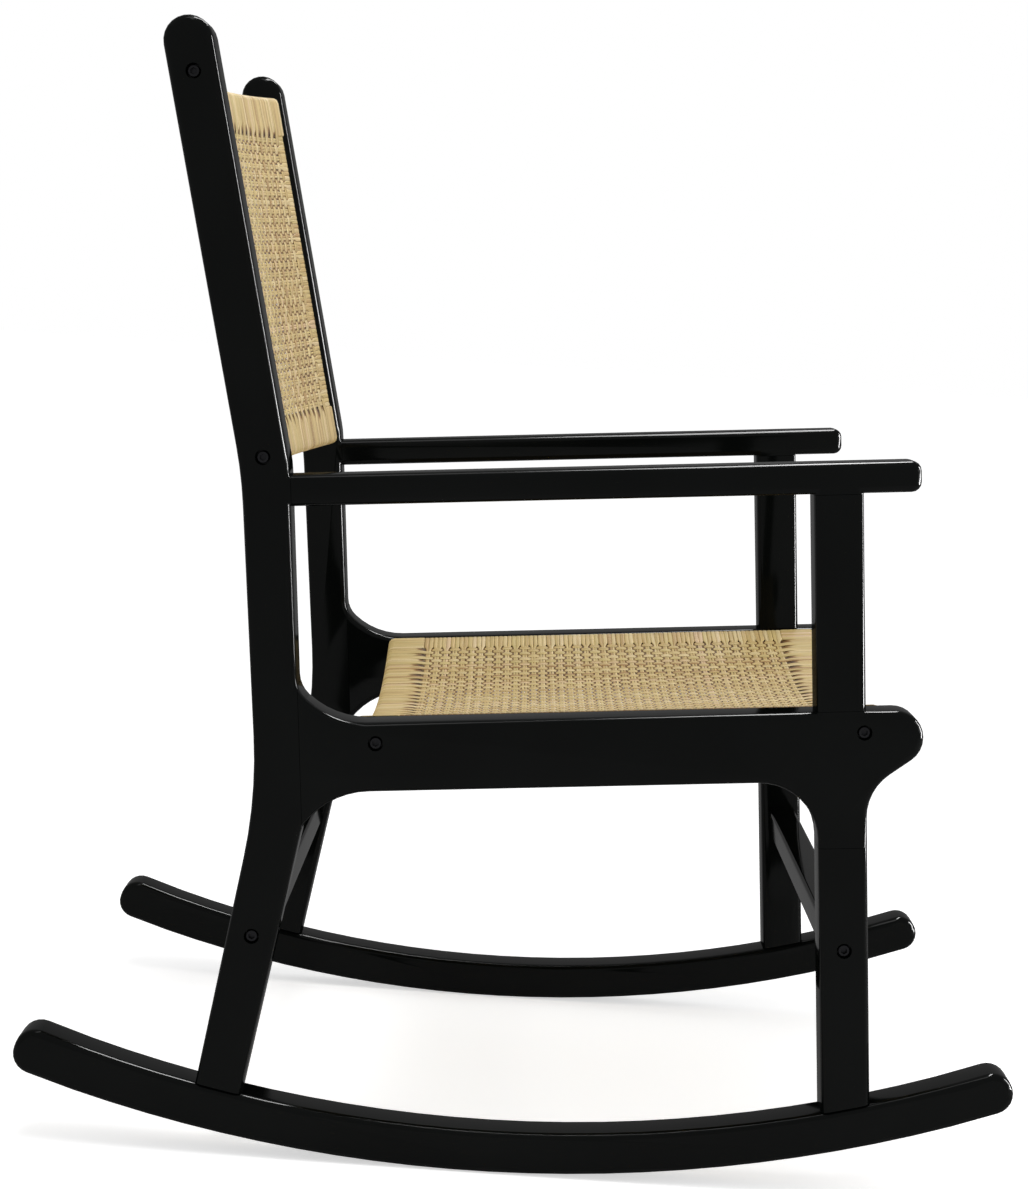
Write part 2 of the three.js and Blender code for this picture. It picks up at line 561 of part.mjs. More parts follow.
// A caned panel in its own frame: X across, Y from its first rail to its second, Z towards the sitter.
// Its rails are curved away from the sitter by bow in the middle.
function canedPanel({ name, railNames, pitch, railWidth, railDepth, bow }) {
  const group = new THREE.Group();
  const half = railWidth / 2;
  const top = railDepth / 2;
  const step = (2 * CANE_HALF) / PANEL_STEPS;
  const parabola = (x) => -bow * (1 - (x / CANE_HALF) ** 2);
  // How far the panel stands back at x. All its pieces bend in the same straight steps, and run on straight
  // beyond the cane, so that the gaps between them stay even.
  const setBack = (x) => {
    const inner = Math.min(Math.floor(Math.abs(x) / step), PANEL_STEPS / 2 - 1) * step;
    const outer = inner + step;
    return parabola(inner) + ((Math.abs(x) - inner) * (parabola(outer) - parabola(inner))) / step;
  };
  const bend = (geometry) => {
    const places = geometry.attributes.position;
    for (let i = 0; i < places.count; i += 1) {
      places.setZ(i, places.getZ(i) + setBack(places.getX(i)));
    }
    return toSolid(geometry);
  };
  // The rectangle of a bar's section, grown on all sides by grow
  const section = (fromY, toY, fromZ, toZ, grow, edge = 0) => outline([
    [fromY - grow, fromZ - grow, edge],
    [toY + grow, fromZ - grow, edge],
    [toY + grow, toZ + grow, edge],
    [fromY - grow, toZ + grow, edge],
  ], PANEL_EDGE_STEPS);
  // A bar right across the panel, in its straight steps
  const crossBar = (points, halfLength) => {
    const geometry = sawn(points, -CANE_HALF, CANE_HALF, { steps: PANEL_STEPS });
    const places = geometry.attributes.position;
    for (let i = 0; i < places.count; i += 1) {
      const x = places.getX(i);
      if (Math.abs(x) > CANE_HALF - step / 2) places.setX(i, Math.sign(x) * halfLength);
    }
    return bend(geometry);
  };
  const rail = (end, halfLength, grow) => {
    const middle = (end * pitch) / 2;
    return crossBar(section(middle - half, middle + half, -top, top, grow, PANEL_EDGE + grow), halfLength);
  };
  const stileOuter = CANE_HALF - CANE - FIT_GAP;
  const stileInner = stileOuter - STILE_WIDTH;
  const stileEnd = pitch / 2 - half - FIT_GAP;
  const stileTop = top - STILE_DROP;
  const stile = (side, grow) => {
    const [low, high] = side > 0 ? [stileInner, stileOuter] : [-stileOuter, -stileInner];
    const points = section(-stileEnd, stileEnd, -stileTop, stileTop, grow);
    return bend(sawn(points, low - grow, high + grow));
  };
  const stileTenon = (side, grow) => {
    const middle = (side * (stileInner + stileOuter)) / 2;
    const size = STILE_TENON_SIZE / 2;
    const reach = stileEnd + STILE_TENON;
    const points = section(-reach, reach, -size, size, grow);
    return bend(sawn(points, middle - size - grow, middle + size + grow));
  };

  const wood = {};
  railNames.forEach((railName, i) => {
    const end = i === 0 ? -1 : 1;
    const axis = new THREE.Vector3(0, end, 0);
    let solid = rail(end, CROSS_HALF, 0);
    const middle = (end * pitch) / 2;
    Object.entries(SIDES).forEach(([sideName, side]) => {
      solid = solid.subtract(nutHoles(side, middle, 0, axis)).subtract(stileTenon(side, FIT_GAP));
      group.add(nutMesh(`nut_${railName}_${sideName}`, side, middle, 0, axis));
    });
    wood[railName] = solid;
  });
  Object.entries(SIDES).forEach(([sideName, side]) => {
    wood[`${name}_stile_${sideName}`] = stile(side, 0).add(stileTenon(side, 0));
  });
  Object.entries(wood).forEach(([pieceName, solid]) => {
    group.add(toMesh(pieceName, solid, lacquer));
  });

  // The cane: a woven sheet whose strands are wrapped round all four bars
  const wrap = CANE + FIT_GAP;
  const webTop = stileTop + wrap;
  const web = crossBar(section(-pitch / 2, pitch / 2, webTop - WEB, webTop, 0), CANE_HALF - wrap);
  let sheet = rail(-1, CANE_HALF, wrap).add(rail(1, CANE_HALF, wrap)).add(web);
  Object.values(SIDES).forEach((side) => {
    sheet = sheet.add(stile(side, wrap));
  });
  [-1, 1].forEach((end) => {
    sheet = sheet.subtract(rail(end, CROSS_HALF + OVERRUN, FIT_GAP));
  });
  Object.values(SIDES).forEach((side) => {
    sheet = sheet.subtract(stile(side, FIT_GAP));
  });
  group.add(toMesh(`${name}_cane`, sheet, cane));
  return group;
}

function stretcher(name, y, z) {
  const half = STRETCHER_SIZE / 2;
  const points = outline([
    [y - half, z - half, STRETCHER_EDGE],
    [y + half, z - half, STRETCHER_EDGE],
    [y + half, z + half, STRETCHER_EDGE],
    [y - half, z + half, STRETCHER_EDGE],
  ]);
  const group = new THREE.Group();
  const down = new THREE.Vector3(0, 0, -1);
  let solid = toSolid(sawn(points, -CROSS_HALF, CROSS_HALF));
  Object.entries(SIDES).forEach(([sideName, side]) => {
    solid = solid.subtract(nutHoles(side, y, z, down));
    group.add(nutMesh(`nut_${name}_${sideName}`, side, y, z, down));
  });
  group.add(toMesh(name, solid, lacquer));
  return group;
}

const SIDES = { left: 1, right: -1 };
const chair = new THREE.Group();
Object.entries(SIDES).forEach(([name, side]) => chair.add(sideFrame(name, side)));

const seat = canedPanel({
  name: 'seat',
  railNames: ['seat_front_rail', 'seat_rear_rail'],
  pitch: SEAT_REAR_BOLT - SEAT_FRONT_BOLT,
  railWidth: SEAT_RAIL_WIDTH,
  railDepth: SEAT_RAIL_DEPTH,
  bow: SEAT_DISH,
});
seat.position.set(0, (SEAT_FRONT_BOLT + SEAT_REAR_BOLT) / 2, seatHeight);
chair.add(seat);

const back = canedPanel({
  name: 'back',
  railNames: ['back_bottom_rail', 'back_top_rail'],
  pitch: (BACK_HIGH_BOLT - BACK_LOW_BOLT) / Math.cos(POST_LEAN),
  railWidth: BACK_RAIL_WIDTH,
  railDepth: BACK_RAIL_DEPTH,
  bow: BACK_BOW,
});
const backMiddle = (BACK_LOW_BOLT + BACK_HIGH_BOLT) / 2;
back.position.set(0, postAxisAt(backMiddle), backMiddle);
back.rotation.x = Math.PI / 2 - POST_LEAN;
chair.add(back);

chair.add(stretcher('front_stretcher', ...SCREWS.stretcher_front));
chair.add(stretcher('rear_stretcher', ...SCREWS.stretcher_rear));

// Lean the chair to its rest about the centre of the runner's curve, and centre it over the origin
const runnerMiddle = RUNNER_RADIUS - RUNNER_DEPTH / 2;
const rearReach = runnerMiddle * Math.sin(RUNNER_REAR_ANGLE - REST_TILT);
const frontReach = runnerMiddle * Math.sin(RUNNER_FRONT_ANGLE + REST_TILT);
const turning = new THREE.Group();
chair.position.z = -RUNNER_RADIUS;
turning.add(chair);
turning.rotation.x = -REST_TILT;
turning.position.set(0, (frontReach - rearReach) / 2, RUNNER_RADIUS * Math.cos(RUNNER_STEP / 2));
const rockingChair = new THREE.Group();
rockingChair.add(turning);

export default rockingChair;
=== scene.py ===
# Rocking chair in black lacquer with a seat and a back of woven cane, in a plain pale studio.
import json
import math

import bpy
import numpy as np
from mathutils import Matrix, Vector


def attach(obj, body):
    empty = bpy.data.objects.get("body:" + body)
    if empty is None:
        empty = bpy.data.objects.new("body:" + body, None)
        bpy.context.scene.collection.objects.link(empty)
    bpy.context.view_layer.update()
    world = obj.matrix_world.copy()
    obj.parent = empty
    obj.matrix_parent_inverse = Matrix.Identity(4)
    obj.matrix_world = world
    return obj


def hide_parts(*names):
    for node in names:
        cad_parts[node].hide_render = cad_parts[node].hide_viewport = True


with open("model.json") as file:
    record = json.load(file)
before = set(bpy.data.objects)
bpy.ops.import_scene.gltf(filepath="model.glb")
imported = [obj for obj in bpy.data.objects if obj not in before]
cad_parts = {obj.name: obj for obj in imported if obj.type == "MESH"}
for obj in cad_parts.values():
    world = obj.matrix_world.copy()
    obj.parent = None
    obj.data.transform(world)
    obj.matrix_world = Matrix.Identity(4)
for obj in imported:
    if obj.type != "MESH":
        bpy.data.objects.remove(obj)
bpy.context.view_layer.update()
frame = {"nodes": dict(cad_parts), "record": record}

MM = 0.001

# How the chair stands. The panels' middles are given with the front leg upright, from where the runners then touch
# the floor. At rest the chair leans back by REST_TILT.
RUNNER_RADIUS = 1222 * MM
REST_TILT = math.radians(5.2)
REST_MIDDLE = Vector((0, 29.65 * MM, 1221.9 * MM))  # centre of the runners' curve at rest
POST_LEAN = math.radians(8.25)
SEAT_MIDDLE = Vector((0, -20 * MM, 364.5 * MM))
BACK_MIDDLE = Vector((0, 283.71 * MM, 751.65 * MM))

# The camera, as it was found from the picture for a chair that leans back by PHOTO_TILT
PHOTO_TILT = math.radians(1.35)
PHOTO_MIDDLE = Vector((0, -46.4 * MM, 1221.7 * MM))  # centre of the runners' curve then
CAMERA_PLACE = Vector((-2406.4 * MM, -18.9 * MM, 711.3 * MM))
CAMERA_YAW = math.radians(0.488)
CAMERA_PITCH = math.radians(6.213)
CAMERA_FOCUS_PX = 2633
PHOTO_HEIGHT_PX = 1189
SENSOR = 36

# Studio
ROOM_LIGHT = 0.52
FLOOR_HALF = 30
FLOOR_DROP = 0.5 * MM
FLOOR_LIFT = 0.58  # what the floor gives back of the white background
LAMPS = {
    "front": {"place": (-0.7, -2.4, 1.1), "aim": (0, 0, 0.5), "size": (0.5, 1.5), "power": 19},
    "top": {"place": (-0.5, 0.3, 2.6), "aim": (0, 0, 0.4), "size": (0.5, 1.6), "power": 19},
}
GLOSS_LAMPS = {
    "gloss_front": {"place": (0, -2.6, 0.9), "aim": (0, 0, 0.5), "size": (0.5, 2.2), "power": 850},
    "gloss_top": {"place": (0.7, -0.2, 2.6), "aim": (0, 0, 0.5), "size": (0.35, 2.4), "power": 240},
}

# Colours of the materials, each with its place in a ramp
LACQUER_TONES = [(0.3, (0.0016, 0.0020, 0.0018)), (0.8, (0.0030, 0.0036, 0.0033))]
CANE_TONES = [  # of whole strands
    (0, (0.40, 0.24, 0.09)),
    (0.08, (0.53, 0.37, 0.15)),
    (0.3, (0.60, 0.48, 0.20)),
    (0.5, (0.62, 0.46, 0.20)),
    (0.7, (0.66, 0.52, 0.24)),
    (0.9, (0.74, 0.61, 0.35)),
    (1, (0.66, 0.45, 0.28)),
]
STREAK_SHADES = [  # within a strand
    (0.3, (0.42, 0.3, 0.18)),
    (0.37, (0.8, 0.73, 0.63)),
    (0.5, (0.97, 0.96, 0.93)),
    (0.8, (1.1, 1.08, 1.04)),
]
HOLLOW_SHADES = [(0.1, (1, 1, 1)), (0.42, (0.42, 0.29, 0.16)), (1, (0.13, 0.07, 0.025))]  # painted shade of cane that lies deep in the weave, from level to deep
STREAK_SCALE = (14, 5, 1.7)  # along a strand, across it and from one to the next
WEAR = (0.8, 1.25)  # shares of a plain material's roughness

SHARP_ANGLE = math.radians(50)  # the frame's routed edges turn by less than this from face to face
WELD_GAP = 0.01 * MM

# Cane: flat strands, worked in pairs over and under each other. Warps run from rail to rail, wefts from stile to
# stile. The field is where they cross.
STRAND_THICKNESS = 0.95 * MM
# The corners of a strand's section, in shares of its width and thickness
SECTION_SHARES = np.array([(-0.5, -0.4), (-0.5, 0.12), (-0.3, 0.5), (0.3, 0.5), (0.5, 0.12), (0.5, -0.4)])
SIDEWAYS = np.array([(0, -1.0, 0), (1.0, 0, 0)])  # square to the strands that run along x, and along y
RUN_STEP = 2.2 * MM  # between a strand's points where nothing crosses it
DRIFT_LENGTHS = (0.31, 0.12, 0.045)  # of the waves in which strands wander
WARP_NUMBERS = 1000  # each strand's number picks its tone
WEFT_NUMBERS = 3000
WRAP_NUMBERS = 5000

# The bars under the cane
CANE_HALF = 256.7 * MM
STILE_OUTER = 254.9 * MM
STILE_WIDTH = 20 * MM
STILE_LIFT = 1 * MM  # of its underside from the rails'
RAIL_EDGE = 5 * MM  # radius of its rounded edges
STILE_EDGE = 0.8 * MM
WRAP_INNER_EDGE = 0.4 * MM

# Strands round the bars
WRAP_GAP = 0.3 * MM  # between a bar and the strands round it
SKIN = WRAP_GAP + STRAND_THICKNESS / 2
CORNER_SHARES = np.linspace(0, 1, 4)
HALF_WAY_POINTS = 1 + 3 * len(CORNER_SHARES)
TUCK = 5 * MM  # a strand's end lies this far down the inner side of its bar
WRAP_FILL = (0.95, 1)  # share of its room that a strand's width takes

# Weave
SHEET_DROP = 0.55 * MM  # from the rails' faces to the middle of the sheet
WARP_STOPS = [(0, 1), (0.24, 0.9), (0.5, 0), (0.76, -0.9)]  # shares of a crossing, and of the swing there
WARP_SWING = 0.62 * MM  # up and down from the middle of the sheet
WARP_FILL = (0.94, 1)
WARP_NARROWING = 0.05  # in the field
WARP_CLOSING = 0.1 * MM  # of the two of a pair, in the field
WARP_DRIFT = 0.35 * MM
PARTING = 10 * MM  # from a rail's edge out to where the strands over and under the first weft begin to part
PARTING_SPREAD = (-6 * MM, 8 * MM)  # added to it for each pair
PART_RISE = 0.3 * MM  # up or down, from there to the edge
WEFT_STOPS = [(0, 1), (0.38, 0.9), (0.5, 0), (0.62, -0.9)]
WEFT_SWING = 0.33 * MM
WEFT_FILL = (0.93, 1)
WEFT_NARROWING = 0.48
WEFT_PAIR_SHARE = 0.13  # of the pitch, from a pair's middle to each of its strands' in the field
WEFT_DRIFT = 0.5 * MM
WEFT_RUNOUT = 1.5 * MM  # from the field to where a weft lies as on the stile

# Painted shade in the weave: how deep strands look there. These depths only darken the colour.
SHADE_PATTERN_WAVES = 8
SHADE_PATTERN_LENGTHS = (28 * MM, 110 * MM)
SHADE_PATTERN_SPREAD = 0.3
LEVEL_DEPTH = 0.3  # down to here a strand looks level
FULL_DEPTH_SHARE = 0.3  # of the pitch: a warp is at its full depth this far before its first crossing
MIDDLE_LIGHT = 0.5  # how much less deep the middle of a pair of warps looks than its edges: less painted shade there
SPIKE_LIGHT = 0.4  # the same beyond the last weft
# How strongly a weft's depth darkens it, as painted shade
WEFT_HOLLOW_SHADING = 0.4
RAIL_SHADE = np.zeros(HALF_WAY_POINTS)
STILE_SHADE = np.array([0] * 6 + [0.1, 0.3, 0.5, 0.6, 0.5, 0.25, 0])  # painted shade on a stile's outer side, which is in a gap

rest_matrix = (
    Matrix.Translation(REST_MIDDLE)
    @ Matrix.Rotation(-REST_TILT, 4, "X")
    @ Matrix.Translation(Vector((0, 0, -RUNNER_RADIUS)))
)

# The woven panels. Their frame has x along the rails, y from rail to rail and z out of the face that is sat on or
# leant on. The pads say how far the cane lies outside the rails' faces and outer edges, stile_drop how far the
# stiles' faces lie below the rails', and field_half how far the warps reach from the middle. Another number says
# how strongly the strands' depths darken them, as painted shade.
PANELS = {
    "seat": {
        "matrix": rest_matrix @ Matrix.Translation(SEAT_MIDDLE),
        "pitch": 396 * MM,
        "rail_width": 33 * MM,
        "rail_depth": 27 * MM,
        "bow": 31 * MM,
        "face_pad": 1.9 * MM,
        "edge_pads": (1 * MM, 2.2 * MM),
        "stile_drop": -0.3 * MM,
        "field_half": 228 * MM,
        "warp_pairs": 54,
        "weft_pairs": 41,
        "hollow_shading": 2.1,
        "seed": 3,
    },
    "back": {
        "matrix": rest_matrix @ Matrix.Translation(BACK_MIDDLE) @ Matrix.Rotation(math.pi / 2 - POST_LEAN, 4, "X"),
        "pitch": 309.3 * MM,
        "rail_width": 34.5 * MM,
        "rail_depth": 20 * MM,
        "bow": 37 * MM,
        "face_pad": 4.6 * MM,
        "edge_pads": (0.6 * MM, 2.1 * MM),
        "stile_drop": 1.2 * MM,
        "field_half": 242 * MM,
        "warp_pairs": 67,
        "weft_pairs": 31,
        "hollow_shading": 1.8,
        "seed": 5,
    },
}


# Materials


def new_material(name):
    material = bpy.data.materials.new(name)
    material.use_nodes = True
    nodes = material.node_tree.nodes
    return material, nodes, material.node_tree.links, nodes["Principled BSDF"]


def colour_ramp(nodes, links, value, stops):
    ramp = nodes.new("ShaderNodeValToRGB")
    elements = ramp.color_ramp.elements
    while len(elements) < len(stops):
        elements.new(1)
    for element, (place, colour) in zip(elements, stops):
        element.position = place
        element.color = (*colour, 1)
    links.new(value, ramp.inputs["Fac"])
    return ramp.outputs["Color"]


def noise(nodes, links, vector, scale, detail):
    texture = nodes.new("ShaderNodeTexNoise")
    texture.inputs["Scale"].default_value = scale
    texture.inputs["Detail"].default_value = detail
    links.new(vector, texture.inputs["Vector"])
    return texture.outputs["Fac"]


def spread(nodes, links, value, low, high):
    """A value from 0 to 1 brought to low to high."""
    reach = nodes.new("ShaderNodeMapRange")
    reach.inputs["To Min"].default_value = low
    reach.inputs["To Max"].default_value = high
    links.new(value, reach.inputs["Value"])
    return reach.outputs["Result"]


def multiplied(nodes, links, first, second):
    mix = nodes.new("ShaderNodeMix")
    mix.data_type = "RGBA"
    mix.blend_type = "MULTIPLY"
    mix.inputs["Factor"].default_value = 1
    links.new(first, mix.inputs["A"])
    links.new(second, mix.inputs["B"])
    return mix.outputs["Result"]


def bump(nodes, links, height, shader, strength, distance):
    node = nodes.new("ShaderNodeBump")
    node.inputs["Strength"].default_value = strength
    node.inputs["Distance"].default_value = distance
    links.new(height, node.inputs["Height"])
    links.new(node.outputs["Normal"], shader.inputs["Normal"])


def lacquer_material():
    material, nodes, links, shader = new_material("black_lacquer")
    place = nodes.new("ShaderNodeTexCoord").outputs["Object"]
    tone = colour_ramp(nodes, links, noise(nodes, links, place, scale=9, detail=4), LACQUER_TONES)
    links.new(tone, shader.inputs["Base Color"])
    roughness = spread(nodes, links, noise(nodes, links, place, scale=35, detail=3), low=0.3, high=0.45)
    links.new(roughness, shader.inputs["Roughness"])
    shader.inputs["Specular IOR Level"].default_value = 0
    shader.inputs["Coat Weight"].default_value = 0.1
    shader.inputs["Coat Roughness"].default_value = 0.08
    ripples = noise(nodes, links, place, scale=260, detail=2)
    bump(nodes, links, ripples, shader, strength=0.06, distance=0.1 * MM)
    return material


def cane_material():
    """Cane, coloured by the strands' attributes: a tone for each strand, streaks along it and painted shade by its
    depth.
    """
    material, nodes, links, shader = new_material("woven_cane")
    strand = nodes.new("ShaderNodeAttribute")
    strand.attribute_name = "strand"
    hollow_shade = nodes.new("ShaderNodeAttribute")
    hollow_shade.attribute_name = "hollow_shade"

    parts = nodes.new("ShaderNodeSeparateXYZ")
    links.new(strand.outputs["Vector"], parts.inputs["Vector"])
    pick = nodes.new("ShaderNodeTexWhiteNoise")
    pick.noise_dimensions = "1D"
    links.new(parts.outputs["Z"], pick.inputs["W"])
    tone = colour_ramp(nodes, links, pick.outputs["Value"], CANE_TONES)

    stretch = nodes.new("ShaderNodeVectorMath")
    stretch.operation = "MULTIPLY"
    stretch.inputs[1].default_value = STREAK_SCALE
    links.new(strand.outputs["Vector"], stretch.inputs[0])
    streaks = noise(nodes, links, stretch.outputs["Vector"], scale=1, detail=5)
    streaked = multiplied(nodes, links, tone, colour_ramp(nodes, links, streaks, STREAK_SHADES))

    # Painted shade: the cane is darkened where a strand lies deep in the weave
    shade = colour_ramp(nodes, links, hollow_shade.outputs["Fac"], HOLLOW_SHADES)
    links.new(multiplied(nodes, links, streaked, shade), shader.inputs["Base Color"])
    shader.inputs["Roughness"].default_value = 0.6
    shader.inputs["Specular IOR Level"].default_value = 0.07
    bump(nodes, links, streaks, shader, strength=0.35, distance=0.15 * MM)
    return material


def plain_material(name, colour, roughness, metallic):
    material, nodes, links, shader = new_material(name)
    place = nodes.new("ShaderNodeTexCoord").outputs["Object"]
    low, high = (roughness * share for share in WEAR)
    wear = spread(nodes, links, noise(nodes, links, place, scale=400, detail=3), low, high)
    links.new(wear, shader.inputs["Roughness"])
    shader.inputs["Base Color"].default_value = (*colour, 1)
    shader.inputs["Metallic"].default_value = metallic
    return material


cane = cane_material()
finishes = {
    "lacquered_wood": lacquer_material(),
    "cane": cane,
    "bare_wood": plain_material("bare_beech", (0.5, 0.32, 0.15), roughness=0.6, metallic=0),
    "black_steel": plain_material("black_steel", (0.012, 0.012, 0.013), roughness=0.38, metallic=1),
    "zinc_steel": plain_material("zinc_steel", (0.5, 0.5, 0.5), roughness=0.35, metallic=1),
}


# The frame's own parts keep their shapes: they get their finish, and even shading over their routed edges


def sharpened_edges():
    """A node group that marks the edges between faces at more than SHARP_ANGLE as sharp."""
    group = bpy.data.node_groups.new("sharpened_edges", "GeometryNodeTree")
    group.interface.new_socket("Geometry", in_out="INPUT", socket_type="NodeSocketGeometry")
    group.interface.new_socket("Geometry", in_out="OUTPUT", socket_type="NodeSocketGeometry")
    start, end = group.nodes.new("NodeGroupInput"), group.nodes.new("NodeGroupOutput")
    angle = group.nodes.new("GeometryNodeInputMeshEdgeAngle")
    wide = group.nodes.new("FunctionNodeCompare")
    wide.operation = "GREATER_THAN"
    wide.inputs["B"].default_value = SHARP_ANGLE
    sharp = group.nodes.new("GeometryNodeSetShadeSmooth")
    sharp.domain = "EDGE"
    sharp.inputs["Shade Smooth"].default_value = False
    group.links.new(angle.outputs["Unsigned Angle"], wide.inputs["A"])
    group.links.new(wide.outputs["Result"], sharp.inputs["Selection"])
    group.links.new(start.outputs["Geometry"], sharp.inputs["Geometry"])
    group.links.new(sharp.outputs["Geometry"], end.inputs["Geometry"])
    return group


def dress_frame():
    sharpening = sharpened_edges()
    for part in frame["record"]["subparts"]:
        piece = frame["nodes"][part["node"]]
        piece.data.materials.clear()
        piece.data.materials.append(finishes[part["material_slot"]])
        piece.data.shade_smooth()
        weld = piece.modifiers.new("weld", "WELD")
        weld.merge_threshold = WELD_GAP
        piece.modifiers.new("sharp", "NODES").node_group = sharpening
        smooth = piece.modifiers.new("smooth", "WEIGHTED_NORMAL")
        smooth.keep_sharp = True


dress_frame()


# Cane


class Strands:
    """Flat strands of cane that run along one axis of their panel (0 for x, 1 for y), gathered in one mesh."""

    def __init__(self, axis, first_number):
        self.axis = axis
        self.points = []
        self.faces = []
        self.marks = []
        self.hollows = []
        self.count = 0
        self.number = first_number

    def add(self, path, widths, hollows, closed=False):
        """Adds a strand along a path: points (n, 3), from low to high on the axis where it lies face up.

        hollows: for each point, how deep the strand's low and high side and its underside look as painted shade (n,
        3)."""
        sideways = SIDEWAYS[self.axis]
        ahead = np.roll(path, -1, axis=0) - np.roll(path, 1, axis=0)
        if not closed:
            ahead[0] = path[1] - path[0]
            ahead[-1] = path[-1] - path[-2]
        up = np.cross(sideways, ahead)
        up /= np.linalg.norm(up, axis=1)[:, None]
        steps, corners = len(path), len(SECTION_SHARES)
        across, rise = SECTION_SHARES.T
        sides = across[None, :, None] * np.reshape(widths, (-1, 1, 1)) * sideways
        rises = rise[None, :, None] * STRAND_THICKNESS * up[:, None, :]
        self.points.append((path[:, None, :] + sides + rises).reshape(-1, 3))

        first = np.arange(steps if closed else steps - 1)[:, None] * corners
        second = (first + corners) % (steps * corners)
        corner = np.arange(corners)
        following = (corner + 1) % corners
        quads = np.stack([first + corner, second + corner, second + following, first + following], axis=-1)
        self.faces.extend((quads.reshape(-1, 4) + self.count).tolist())
        if not closed:
            self.faces.append((self.count + corner).tolist())
            self.faces.append((self.count + (steps - 1) * corners + corner[::-1]).tolist())

        mark = np.zeros((steps, corners, 3))
        mark[:, :, 0] = np.concatenate([[0], np.cumsum(np.linalg.norm(np.diff(path, axis=0), axis=1))])[:, None]
        mark[:, :, 1] = across
        mark[:, :, 2] = self.number
        self.marks.append(mark.reshape(-1, 3))
        # Painted shade across the section: the top from the low to the high side, the underside as given
        above = hollows[:, :1] * (0.5 - across) + hollows[:, 1:2] * (0.5 + across)
        self.hollows.append(np.where(rise < 0, hollows[:, 2:], above).ravel())
        self.count += steps * corners
        self.number += 1

    def way(self, aside, along, level):
        """Points in the panel's frame of a way along the axis, aside on the other one."""
        points = np.zeros((len(along), 3))
        points[:, self.axis] = along
        points[:, 1 - self.axis] = aside
        points[:, 2] = level
        return points

    def cross(self, bars, aside, field, offset, level, widths, hollows, ends):
        """Adds a strand right across: round the first bar, through the weave and round the second one."""
        low, high = bars[0].half_way(), bars[1].half_way()[::-1]
        path = np.concatenate([
            self.way(aside, *low.T),
            self.way(aside + offset, field, level),
            self.way(aside, *high.T),
        ])
        # Painted shade round the bars, none on the underside
        around = np.stack([ends, ends, ends * 0], axis=1)
        full = np.concatenate([np.full(len(low), widths[0]), widths, np.full(len(high), widths[-1])])
        self.add(path, full, np.concatenate([around, hollows, around[::-1]]))

    def wrap(self, bar, aside, width):
        """Adds a strand that only goes round a bar."""
        round_bar = bar.whole_way()[:: -bar.end]  # from low to high on the bar's face
        count = len(round_bar)
        self.add(self.way(aside, *round_bar.T), np.full(count, width), np.zeros((count, 3)), closed=True)

    def build(self, name, sizes):
        """One object of all strands, put in its panel's place and bowed like its rails."""
        points = np.concatenate(self.points)
        points[:, 2] -= sizes["bow"] * (1 - np.clip(points[:, 0] / CANE_HALF, -1, 1) ** 2)
        mesh = bpy.data.meshes.new(name)
        mesh.from_pydata(points.tolist(), [], self.faces)
        mesh.transform(sizes["matrix"])
        attribute = mesh.attributes.new("strand", "FLOAT_VECTOR", "POINT")
        attribute.data.foreach_set("vector", np.concatenate(self.marks).ravel())
        # Painted shade by depth, which the cane's material reads
        attribute = mesh.attributes.new("hollow_shade", "FLOAT", "POINT")
        attribute.data.foreach_set("value", np.concatenate(self.hollows))
        mesh.shade_smooth()
        mesh.materials.append(cane)
        piece = bpy.data.objects.new(name, mesh)
        bpy.context.scene.collection.objects.link(piece)
        return piece


class Bar:
    """The way of a strand round a bar at end (-1 or 1) of a panel, in the plane across the bar."""

    def __init__(self, end, middle, width, top, bottom, edge, edge_pad=0):
        self.end = end
        self.inner = middle - width / 2 - SKIN
        self.outer = middle + width / 2 + edge_pad + SKIN
        self.level = top + SKIN
        self.bottom = bottom - SKIN
        self.radius = edge + SKIN
        self.crest = middle - width / 2 + edge  # where its face begins to round off inward

    def corner(self, number, radius):
        """Points of a rounded corner; they are numbered from the inner lower one, on round the outer side."""
        out = self.outer - radius if number in (1, 2) else self.inner + radius
        up = self.level - radius if number > 1 else self.bottom + radius
        angles = math.pi + math.pi / 2 * (number + CORNER_SHARES)
        points = np.stack([out + radius * np.cos(angles), up + radius * np.sin(angles)], axis=1)
        return points * (self.end, 1)

    def half_way(self):
        """From the inner side down, round and up to the face, ready to run on inward."""
        start = np.array([[self.end * self.inner, self.level - TUCK]])
        return np.concatenate([start, *(self.corner(number, self.radius) for number in range(3))])

    def whole_way(self):
        """Right round the bar, as a closed way."""
        return np.concatenate([self.half_way()[1:], self.corner(3, WRAP_INNER_EDGE + SKIN)])


class ShadePattern:
    """How strongly the painted shade of a panel's hollows shows at a place: a smooth pattern about 1."""

    def __init__(self, random):
        turn = random.uniform(0, 2 * math.pi, SHADE_PATTERN_WAVES)
        length = random.uniform(*SHADE_PATTERN_LENGTHS, SHADE_PATTERN_WAVES)
        self.waves = np.stack([np.cos(turn) / length, np.sin(turn) / length])
        self.starts = random.uniform(0, 1, SHADE_PATTERN_WAVES)

    def at(self, x, y):
        x, y = np.broadcast_arrays(x, y)
        angles = x[:, None] * self.waves[0] + y[:, None] * self.waves[1] + self.starts
        return 1 + SHADE_PATTERN_SPREAD * np.sin(2 * math.pi * angles).sum(axis=1) / math.sqrt(SHADE_PATTERN_WAVES)


